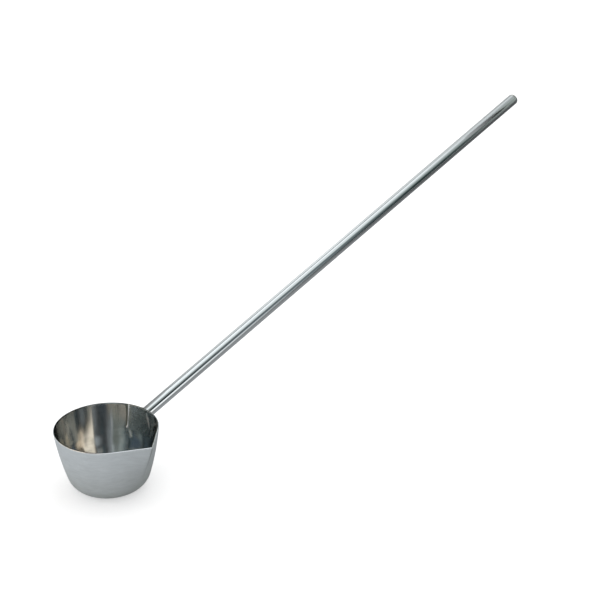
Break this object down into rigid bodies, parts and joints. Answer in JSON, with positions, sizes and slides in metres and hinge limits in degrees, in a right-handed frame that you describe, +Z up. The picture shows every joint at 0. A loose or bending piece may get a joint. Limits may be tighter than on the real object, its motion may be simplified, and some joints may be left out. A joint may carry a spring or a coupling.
{
  "type": "lipped ladle",
  "caption": "Flat-bottomed round metal dipper bowl with a sideways V pouring lip, a backing plate inside its wall and a long straight tube handle that rises outwards.",
  "frame": {"origin": "centre of the bowl's flat underside", "axes": "+Z up along the bowl's axis, +X level and towards the handle, the lip points to -Y"},
  "size_m": [0.9448, 0.1544, 0.2791],
  "materials": {
    "bowl_steel": "drawn stainless sheet, fine satin outside and brighter inside",
    "plate_steel": "rolled stainless plate, smooth dull mill finish",
    "weld_metal": "brushed weld bead with faint heat tint",
    "tube_steel": "polished stainless tube with a fine lengthwise grain"
  },
  "bodies": {
    "root": {"bowl": "bowl_steel", "inner_backing_plate": "plate_steel", "plate_edge_weld_left": "weld_metal", "plate_edge_weld_right": "weld_metal", "handle_tube": "tube_steel", "handle_foot_weld": "weld_metal", "handle_end_plug": "tube_steel"}
  },
  "joints": []
}
